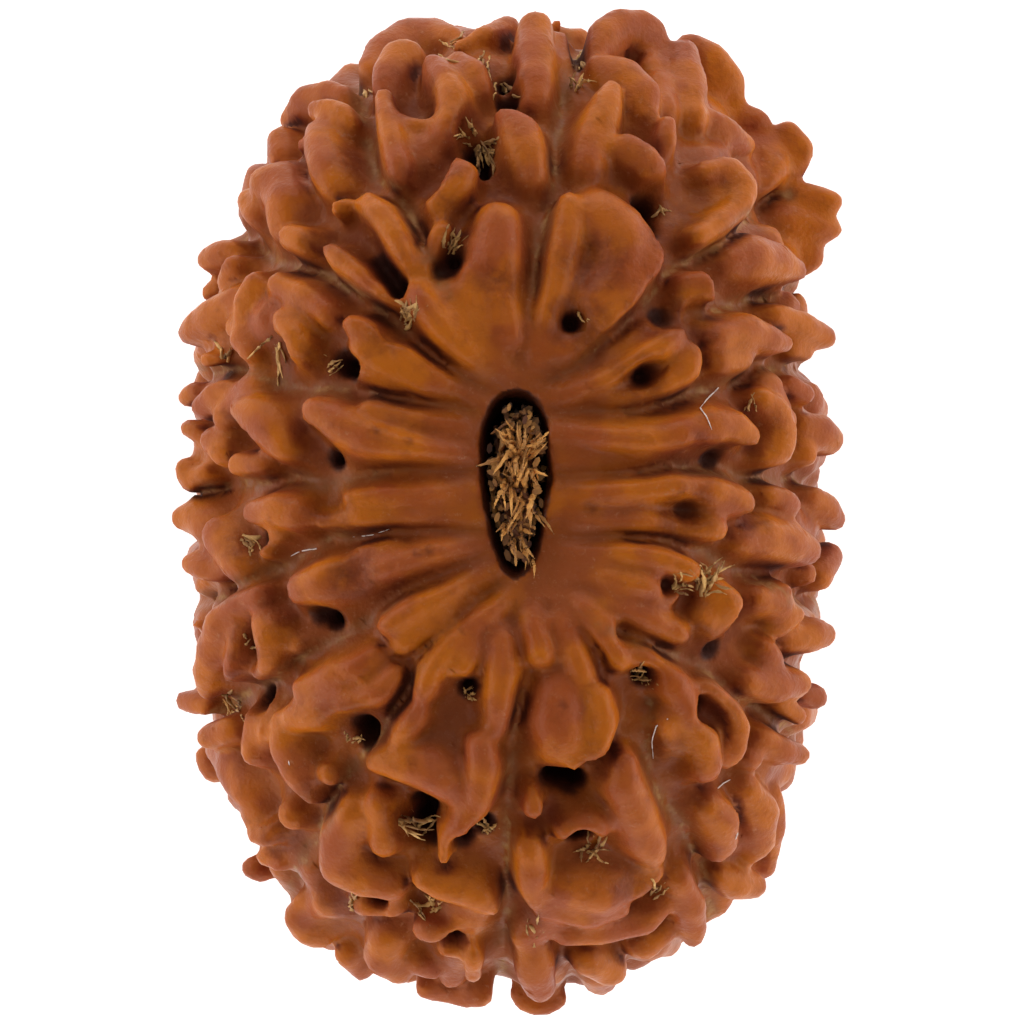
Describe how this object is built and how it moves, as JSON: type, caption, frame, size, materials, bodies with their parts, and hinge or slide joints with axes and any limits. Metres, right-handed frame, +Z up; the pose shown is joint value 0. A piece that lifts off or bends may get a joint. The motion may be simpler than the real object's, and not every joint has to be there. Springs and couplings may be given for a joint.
{
  "type": "rudraksha seed",
  "caption": "Oval dried rudraksha seed with ribs parted by grooves from pole to pole, blunt lobes and pits, and a natural through channel holding a strand of dried fibres.",
  "frame": {"origin": "Bottom centre of the seed's box, on the surface that its lower pole stands on.", "axes": "+Z up along the natural channel from pole to pole, +Y along the seed's long axis, +X along its width."},
  "size_m": [0.0195, 0.03, 0.0209],
  "materials": {
    "seed_stone": "satin, waxy dried woody stone, reddish brown with orange crests and dusty grooves",
    "dried_fibre": "matt dry golden tan fibres"
  },
  "bodies": {
    "root": {"seed": "seed_stone", "core_fibres": "dried_fibre"}
  },
  "joints": []
}
